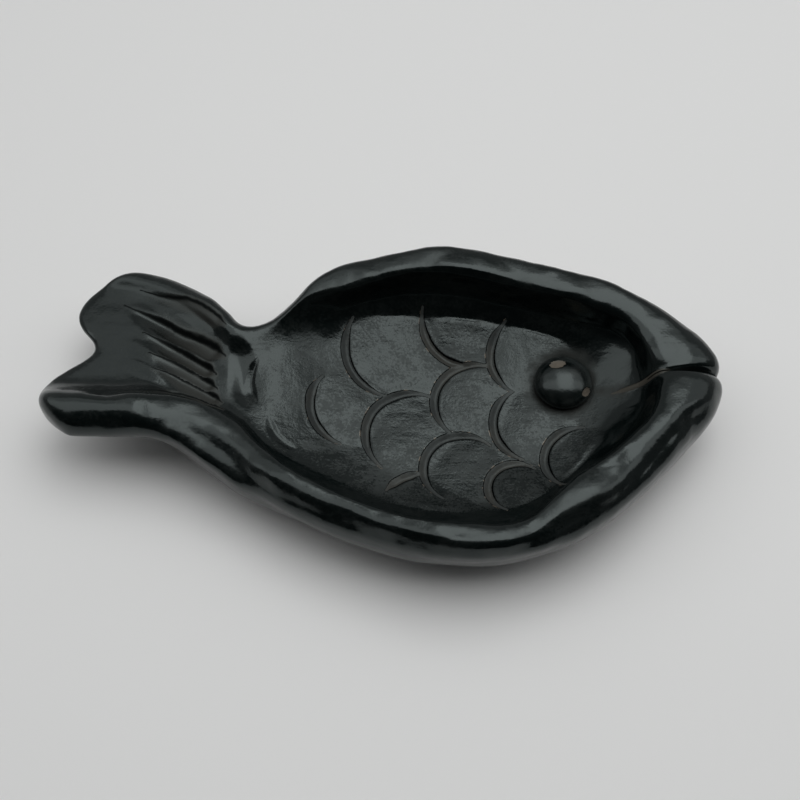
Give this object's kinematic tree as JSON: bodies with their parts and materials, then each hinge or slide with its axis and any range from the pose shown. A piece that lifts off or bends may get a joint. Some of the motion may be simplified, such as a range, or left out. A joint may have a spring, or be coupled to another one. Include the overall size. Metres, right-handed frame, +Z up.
{
  "type": "trinket dish",
  "caption": "Fish-shaped trinket dish in burnished black clay, with a pinched rim, incised scales, a pressed eye, parted lips and a forked tail with gouged rays.",
  "frame": {"origin": "middle of the flat underside, on the table", "axes": "+X along the fish towards the mouth, +Y towards the back, +Z up"},
  "size_m": [0.1762, 0.0897, 0.0282],
  "materials": {
    "burnished_clay": "burnished black, smoke fired",
    "polished_clay": "polished black, smoke fired"
  },
  "bodies": {
    "root": {"floor_slab": "burnished_clay", "back_wall": "burnished_clay", "belly_wall": "burnished_clay", "tail_fin": "burnished_clay", "eye": "polished_clay"}
  },
  "joints": []
}
